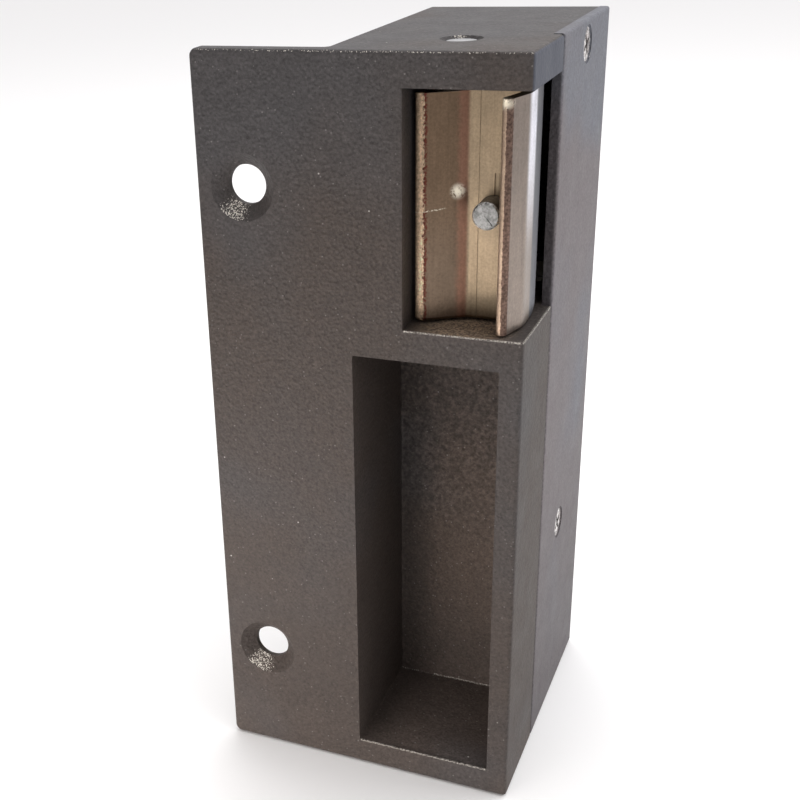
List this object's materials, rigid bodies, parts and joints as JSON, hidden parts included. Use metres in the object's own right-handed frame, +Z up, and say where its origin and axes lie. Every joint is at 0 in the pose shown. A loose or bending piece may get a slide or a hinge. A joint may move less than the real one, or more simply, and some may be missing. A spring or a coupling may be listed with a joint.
{
  "type": "electric door strike",
  "caption": "Surface-mounted electric strike for a rim latch: textured cast housing with screw flange, swinging metal keeper, blind bolt pocket and solenoid lock inside.",
  "frame": {"origin": "middle of the bottom end, on the end's face", "axes": "+Z up along the strike, -Y out of the face that meets the lock, +X out of the cover side, where the keeper swings out"},
  "size_m": [0.05, 0.05, 0.12],
  "materials": {
    "coated_casting": "fine textured powder coat",
    "coated_cover": "fine textured powder coat",
    "nickel_keeper": "nickel plated, lightly worn",
    "zinc_plunger": "zinc plated, dull",
    "zinc_screw": "bright zinc plated",
    "zinc_steel": "zinc plated",
    "steel_pin": "ground",
    "spring_steel": "oiled spring wire",
    "soft_iron": "nickel flashed",
    "brass": "plain",
    "nylon": "moulded",
    "nylon_white": "moulded",
    "enamelled_copper": "enamelled wire, wound",
    "coil_tape": "polyester tape",
    "lead_insulation": "insulated lead",
    "diode_black": "moulded",
    "tinned_copper": "tinned wire",
    "grommet_rubber": "moulded"
  },
  "bodies": {
    "housing": {"housing": "coated_casting", "side_cover": "coated_cover", "cover_screws": "zinc_screw", "cable_grommet": "grommet_rubber", "keeper_pivot_pin": "steel_pin", "keeper_washers": "nylon", "keeper_spring": "spring_steel", "pawl_pivot_pin": "steel_pin", "pawl_spring": "spring_steel", "magnet_frame": "zinc_steel", "frame_screws": "zinc_screw", "magnet_core": "soft_iron", "pole_shim": "brass", "coil_bobbin": "nylon_white", "coil_winding": "enamelled_copper", "coil_tape": "coil_tape", "armature_hinge_pin": "steel_pin", "armature_spring": "spring_steel", "coil_leads": "lead_insulation", "terminal_block": "nylon_white", "terminal_barrels": "brass", "terminal_screws": "zinc_screw", "terminal_block_screw": "zinc_screw", "suppression_diode": "diode_black", "diode_leads": "tinned_copper"},
    "keeper": {"keeper": "nickel_keeper", "plunger_spring": "spring_steel"},
    "plunger": {"hold_open_plunger": "zinc_plunger", "plunger_clip": "spring_steel"},
    "pawl": {"locking_pawl": "zinc_steel", "pawl_bush": "brass"},
    "armature": {"armature": "soft_iron"}
  },
  "joints": [
    {"name": "keeper_swing", "type": "hinge", "parent": "housing", "child": "keeper", "pos_m": [0.0118, -0.013, 0.0975], "axis": [0, 0, 1], "range_deg": [0, 42], "stiffness_Nm_per_rad": 0.02, "springref_deg": -28.65, "deforming": ["keeper_spring"]},
    {"name": "pawl_turn", "type": "hinge", "parent": "housing", "child": "pawl", "pos_m": [0.0136, 0.01, 0.0824], "axis": [0, 0, 1], "range_deg": [-28, 0], "deforming": ["pawl_spring"]},
    {"name": "armature_tilt", "type": "hinge", "parent": "housing", "child": "armature", "pos_m": [0.0037, 0.011, 0.0724], "axis": [0, 1, 0], "range_deg": [0, 10.2], "deforming": ["armature_spring"]},
    {"name": "plunger_slide", "type": "slide", "parent": "keeper", "child": "plunger", "axis": [0, 1, 0], "range_m": [0, 0.0045], "stiffness_N_per_m": 120, "springref_m": -0.006, "deforming": ["plunger_spring"]}
  ],
  "couplings": [
    {"joint": "pawl_turn", "follows": "keeper_swing", "ratio": -0.66},
    {"joint": "armature_tilt", "follows": "keeper_swing", "ratio": 0.238}
  ]
}
